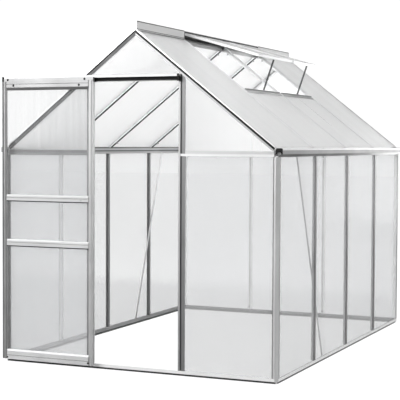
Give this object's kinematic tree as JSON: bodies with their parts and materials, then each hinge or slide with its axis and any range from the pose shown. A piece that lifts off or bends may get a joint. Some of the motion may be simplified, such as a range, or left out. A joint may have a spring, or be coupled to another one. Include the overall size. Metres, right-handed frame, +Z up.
{
  "type": "aluminium and polycarbonate greenhouse",
  "caption": "Small free-standing walk-in greenhouse: aluminium frame, translucent twin-wall panels, pitched roof with opened vents and a sliding front door.",
  "frame": {"origin": "middle of the whole object's outline on the ground, with the door slid open", "axes": "+Z up, +Y from the door end towards the rear, +X to the right of someone facing the doorway"},
  "size_m": [1.72, 2.549, 1.936],
  "materials": {
    "mill_aluminium": "mill-finish extruded aluminium, satin",
    "twin_wall_sheet": "translucent fluted twin-wall polycarbonate, softly glossy",
    "black_plastic": "black moulded plastic, matt",
    "flat_bar": "plain drawn aluminium flat bar, dull"
  },
  "bodies": {
    "greenhouse": {"door_header": "mill_aluminium", "door_posts": "mill_aluminium", "door_track": "mill_aluminium", "door_track_liner": "black_plastic", "door_track_stops": "black_plastic", "front_corner_posts": "mill_aluminium", "front_crossbars": "mill_aluminium", "front_gable_panels": "twin_wall_sheet", "front_gable_rafters": "mill_aluminium", "front_sole_plate": "mill_aluminium", "front_vent_frame": "mill_aluminium", "front_wall_panels": "twin_wall_sheet", "gutter_end_caps": "black_plastic", "left_eave_gutter": "mill_aluminium", "left_roof_panels": "twin_wall_sheet", "left_roof_rafters": "mill_aluminium", "left_wall_panels": "twin_wall_sheet", "left_wall_studs": "mill_aluminium", "rear_corner_posts": "mill_aluminium", "rear_crossbars": "mill_aluminium", "rear_gable_panels": "twin_wall_sheet", "rear_gable_rafters": "mill_aluminium", "rear_sole_plate": "mill_aluminium", "rear_vent_frame": "mill_aluminium", "rear_wall_panels": "twin_wall_sheet", "rear_wall_studs": "mill_aluminium", "ridge_beam": "mill_aluminium", "ridge_caps": "mill_aluminium", "right_eave_gutter": "mill_aluminium", "right_roof_panels": "twin_wall_sheet", "right_roof_rafters": "mill_aluminium", "right_wall_panels": "twin_wall_sheet", "right_wall_studs": "mill_aluminium", "side_sole_plates": "mill_aluminium", "vent_panes": "twin_wall_sheet", "vent_sill_bars": "mill_aluminium", "vent_stays": "flat_bar", "wall_braces": "flat_bar"},
    "door": {"door_bottom_rail": "mill_aluminium", "door_hanger": "mill_aluminium", "door_mid_rails": "mill_aluminium", "door_panes": "twin_wall_sheet", "door_rollers": "black_plastic", "door_stiles": "mill_aluminium", "door_top_rail": "mill_aluminium"}
  },
  "joints": [
    {"name": "door_slide", "type": "slide", "parent": "greenhouse", "child": "door", "axis": [1, 0, 0], "range_m": [0, 0.533]}
  ]
}
